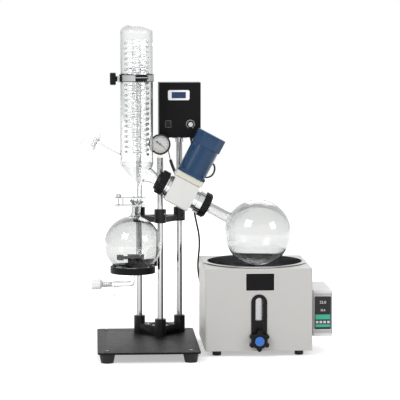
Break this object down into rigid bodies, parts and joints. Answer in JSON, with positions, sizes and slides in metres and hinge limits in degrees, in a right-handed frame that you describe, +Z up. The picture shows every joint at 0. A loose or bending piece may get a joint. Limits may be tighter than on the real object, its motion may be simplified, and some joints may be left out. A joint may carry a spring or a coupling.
{
  "type": "rotary evaporator",
  "caption": "Bench rotary evaporator: a turning flask over a lifting heating bath, tilted drive head, upright glass condenser and receiving flask on a three column stand.",
  "frame": {"origin": "on the bench, in the middle of the box round stand, bath and glassware", "axes": "+Z up, +X towards the heating bath, +Y away from the front"},
  "size_m": [0.8315, 0.5626, 1.0783],
  "materials": {
    "powder_coat": "satin",
    "steel": "satin",
    "chrome": "polished",
    "alloy": "satin",
    "housing_white": "satin",
    "motor_blue": "satin",
    "brass": "satin",
    "box_paint": "satin",
    "black_plastic": "matte",
    "gloss_black": "gloss",
    "blue_plastic": "gloss",
    "key_plastic": "matte",
    "cream_plastic": "matte",
    "rubber": "matte",
    "cord_black": "matte",
    "glass": "clear",
    "ptfe": "matte",
    "bath_metal": "gloss",
    "pot_steel": "brushed",
    "heater": "cast"
  },
  "bodies": {
    "stand": {"base_plate": "powder_coat", "base_feet": "rubber", "base_bracket": "alloy", "columns": "steel", "mid_bracket": "alloy", "stand_bolts": "steel", "gauge_fitting": "brass", "gauge_case": "chrome", "gauge_lens": "glass", "control_box": "box_paint", "display_bezel": "black_plastic", "box_collar": "chrome", "cable_glands": "black_plastic", "mains_cord": "cord_black", "mains_coil": "cord_black", "mains_plug": "rubber", "motor_lead": "cord_black", "head_housing": "housing_white", "head_clamp": "alloy", "motor_adapter": "cream_plastic", "motor_body": "motor_blue", "motor_cap": "motor_blue", "spindle_bearings": "steel", "shaft_seal": "ptfe", "seal_flange": "chrome", "vapour_nut": "black_plastic", "vapour_duct": "glass", "condenser": "glass", "condenser_coil": "glass", "condenser_clamp": "chrome", "joint_clamp": "cream_plastic", "receiving_flask": "glass"},
    "turning": {"rotating_flask": "glass", "flask_nut": "black_plastic", "spindle": "chrome", "bevel_gear": "brass"},
    "pinion": {"drive_pinion": "steel"},
    "bath": {"bath_casing": "bath_metal", "bath_feet": "rubber", "slot_trim": "steel", "pot_gasket": "rubber", "controller_shell": "bath_metal", "controller_panel": "gloss_black"},
    "lift": {"pot": "pot_steel", "lift_plate": "steel", "heater": "heater"},
    "lift_star": {"lift_knob": "black_plastic"},
    "tap": {"feed_tap": "ptfe"},
    "drain": {"drain_knob": "black_plastic"},
    "speed": {"speed_knob": "black_plastic"},
    "rocker": {"power_rocker": "gloss_black"},
    "pointer": {"gauge_pointer": "black_plastic"},
    "clamp_screw": {"clamp_knob": "black_plastic"},
    "ring": {"support_ring": "powder_coat"},
    "ring_lock": {"ring_screw": "black_plastic"},
    "joint_lock": {"joint_clamp_screw": "steel"},
    "key_one": {"key_1": "key_plastic"},
    "key_two": {"key_2": "key_plastic"},
    "key_three": {"key_3": "key_plastic"},
    "key_four": {"key_4": "key_plastic"}
  },
  "joints": [
    {"name": "flask_spin", "type": "hinge", "parent": "stand", "child": "turning", "pos_m": [0.181, 0.0425, 0.387], "axis": [-0.8829, 0, 0.4695], "continuous": true},
    {"name": "pinion_spin", "type": "hinge", "parent": "stand", "child": "pinion", "pos_m": [-0.07373, 0.0425, 0.52244], "axis": [0.4695, 0, 0.8829], "continuous": true},
    {"name": "bath_place", "type": "slide", "parent": "stand", "child": "bath", "axis": [1, 0, 0], "range_m": [-0.01, 0.04]},
    {"name": "pot_lift", "type": "slide", "parent": "bath", "child": "lift", "axis": [0, 0, 1], "range_m": [0, 0.12]},
    {"name": "lift_knob_turn", "type": "hinge", "parent": "lift", "child": "lift_star", "pos_m": [0.1704, -0.135, 0.0545], "axis": [0, 1, 0], "range_deg": [0, 360]},
    {"name": "feed_tap_turn", "type": "hinge", "parent": "stand", "child": "tap", "pos_m": [-0.3572, 0.0425, 0.6907], "axis": [0.5177, 0, 0.8556], "range_deg": [0, 360]},
    {"name": "drain_turn", "type": "hinge", "parent": "stand", "child": "drain", "pos_m": [-0.35, 0.0425, 0.218], "axis": [1, 0, 0], "range_deg": [0, 360]},
    {"name": "speed_turn", "type": "hinge", "parent": "stand", "child": "speed", "pos_m": [-0.0388, 0.12, 0.7445], "axis": [0, 1, 0], "range_deg": [0, 300]},
    {"name": "power_switch", "type": "hinge", "parent": "stand", "child": "rocker", "pos_m": [-0.1137, 0.129, 0.7452], "axis": [1, 0, 0], "range_deg": [0, 16]},
    {"name": "pointer_sweep", "type": "hinge", "parent": "stand", "child": "pointer", "pos_m": [-0.142, 0.09, 0.68], "axis": [0, -1, 0], "range_deg": [0, 270]},
    {"name": "clamp_turn", "type": "hinge", "parent": "stand", "child": "clamp_screw", "pos_m": [-0.29, 0.0425, 0.899], "axis": [1, 0, 0], "range_deg": [0, 360]},
    {"name": "ring_slide", "type": "slide", "parent": "stand", "child": "ring", "axis": [0, 0, 1], "range_m": [-0.02, 0]},
    {"name": "ring_screw_turn", "type": "hinge", "parent": "ring", "child": "ring_lock", "pos_m": [-0.26, 0.1775, 0.287], "axis": [1, 0, 0], "range_deg": [0, 360]},
    {"name": "joint_screw_turn", "type": "hinge", "parent": "stand", "child": "joint_lock", "pos_m": [-0.282, 0.0425, 0.51], "axis": [0, 0, 1], "range_deg": [0, 360]},
    {"name": "key_1_press", "type": "slide", "parent": "bath", "child": "key_one", "axis": [0, 1, 0], "range_m": [0, 0.0008], "stiffness_N_per_m": 400},
    {"name": "key_2_press", "type": "slide", "parent": "bath", "child": "key_two", "axis": [0, 1, 0], "range_m": [0, 0.0008], "stiffness_N_per_m": 400},
    {"name": "key_3_press", "type": "slide", "parent": "bath", "child": "key_three", "axis": [0, 1, 0], "range_m": [0, 0.0008], "stiffness_N_per_m": 400},
    {"name": "key_4_press", "type": "slide", "parent": "bath", "child": "key_four", "axis": [0, 1, 0], "range_m": [0, 0.0008], "stiffness_N_per_m": 400}
  ],
  "couplings": [
    {"joint": "pinion_spin", "follows": "flask_spin", "ratio": -2.5}
  ]
}
